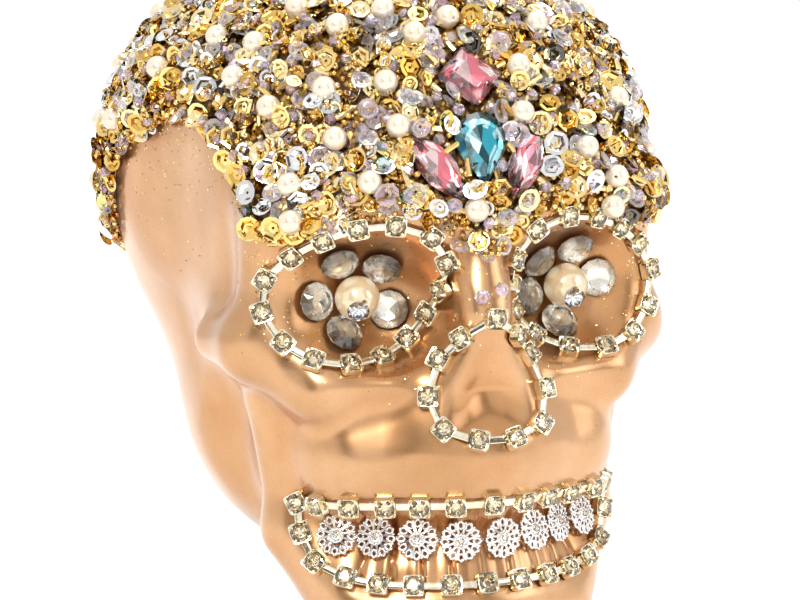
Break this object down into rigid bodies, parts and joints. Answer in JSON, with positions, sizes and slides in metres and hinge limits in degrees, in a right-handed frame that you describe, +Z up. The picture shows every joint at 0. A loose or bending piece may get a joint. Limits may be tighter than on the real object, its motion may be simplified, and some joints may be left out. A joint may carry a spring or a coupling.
{
  "type": "decorated glass skull",
  "caption": "Hollow glass skull ornament painted copper, with a beaded crown, pearls, forehead crystals, rhinestone outlines, stone flower eyes and filigree teeth.",
  "frame": {"origin": "on the table plane, on the flat underside of the foot behind its bore, in the middle plane of the skull", "axes": "+Z up, the face looks along -Y, +X to the right of someone who faces the skull"},
  "size_m": [0.1401, 0.1701, 0.1772],
  "materials": {
    "copper_glass": "glass under a satin copper paint that thins to pale at the ridges",
    "bead_mix": "crust of gold, silver and iridescent sequins with seed and bugle beads",
    "aqua_crystal": "cut and foiled",
    "pink_crystal": "cut and foiled",
    "pearl": "cream pearl lustre",
    "grey_stone": "cut, smoke grey with a foil back",
    "silver_crystal": "cut and silvered",
    "rhinestone_chain": "pale champagne metal cups with clear cut stones",
    "filigree": "bright silver plate",
    "collar_beads": "dark and silver beads"
  },
  "bodies": {
    "root": {"bead_crust": "bead_mix", "crystal_drop": "aqua_crystal", "crystal_leaf_left": "pink_crystal", "crystal_leaf_right": "pink_crystal", "crystal_square": "pink_crystal", "eye_chain_left": "rhinestone_chain", "eye_chain_right": "rhinestone_chain", "eye_pearl_left": "pearl", "eye_pearl_right": "pearl", "eye_point_left": "silver_crystal", "eye_point_right": "silver_crystal", "eye_stone_left_1": "grey_stone", "eye_stone_left_2": "grey_stone", "eye_stone_left_3": "grey_stone", "eye_stone_left_4": "grey_stone", "eye_stone_left_5": "grey_stone", "eye_stone_right_1": "grey_stone", "eye_stone_right_2": "grey_stone", "eye_stone_right_3": "grey_stone", "eye_stone_right_4": "grey_stone", "eye_stone_right_5": "grey_stone", "foot_collar": "collar_beads", "mouth_chain": "rhinestone_chain", "nose_chain": "rhinestone_chain", "pearl_01": "pearl", "pearl_02": "pearl", "pearl_03": "pearl", "pearl_04": "pearl", "pearl_05": "pearl", "pearl_06": "pearl", "pearl_07": "pearl", "pearl_08": "pearl", "pearl_09": "pearl", "pearl_10": "pearl", "pearl_11": "pearl", "pearl_12": "pearl", "pearl_13": "pearl", "pearl_14": "pearl", "pearl_15": "pearl", "pearl_16": "pearl", "pearl_17": "pearl", "pearl_18": "pearl", "pearl_19": "pearl", "pearl_20": "pearl", "pearl_21": "pearl", "pearl_22": "pearl", "pearl_23": "pearl", "pearl_24": "pearl", "pearl_25": "pearl", "pearl_26": "pearl", "pearl_27": "pearl", "pearl_28": "pearl", "pearl_29": "pearl", "pearl_30": "pearl", "pearl_31": "pearl", "pearl_32": "pearl", "pearl_33": "pearl", "pearl_34": "pearl", "skull_glass": "copper_glass", "teeth_trim": "filigree"}
  },
  "joints": []
}
